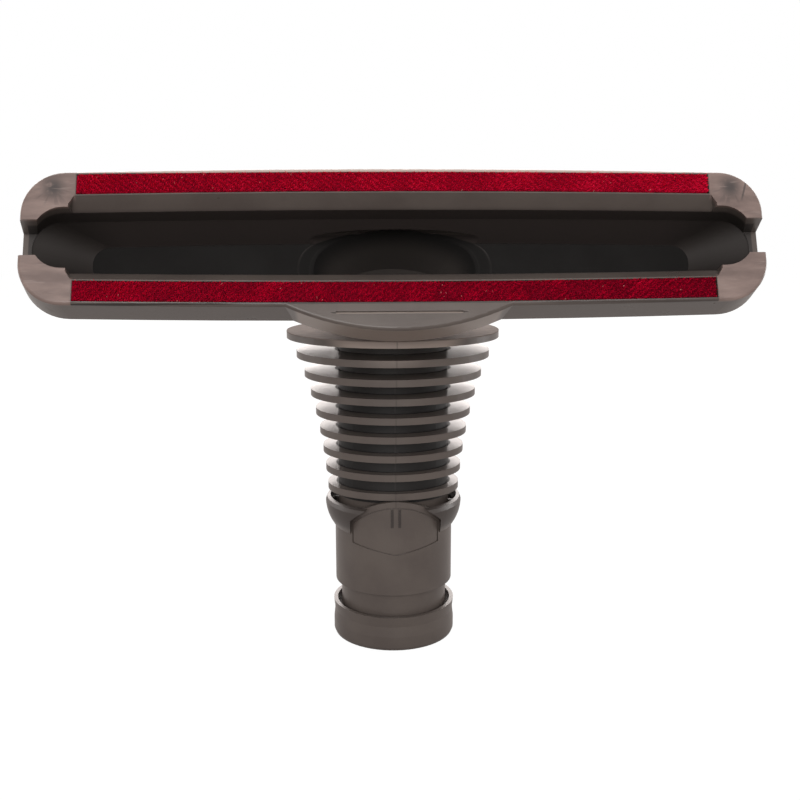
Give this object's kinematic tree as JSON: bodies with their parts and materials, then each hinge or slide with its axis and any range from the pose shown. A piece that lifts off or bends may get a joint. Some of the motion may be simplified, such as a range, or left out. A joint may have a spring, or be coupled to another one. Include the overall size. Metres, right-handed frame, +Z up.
{
  "type": "vacuum cleaner upholstery tool",
  "caption": "Wide slotted vacuum head for upholstery, with pile strips on both lips, a ribbed neck, and a round spigot that plugs into a wand or hose.",
  "frame": {"origin": "centre of the spigot's open end", "axes": "+Z up along the neck's axis towards the head, +X along the head, -Y the way the mouth looks"},
  "size_m": [0.1802, 0.0667, 0.1278],
  "materials": {
    "body_plastic": "satin moulded plastic, dark warm grey",
    "pile": "short dense crimson pile"
  },
  "bodies": {
    "root": {"tool_body": "body_plastic", "pile_strip_upper": "pile", "pile_strip_lower": "pile"}
  },
  "joints": []
}
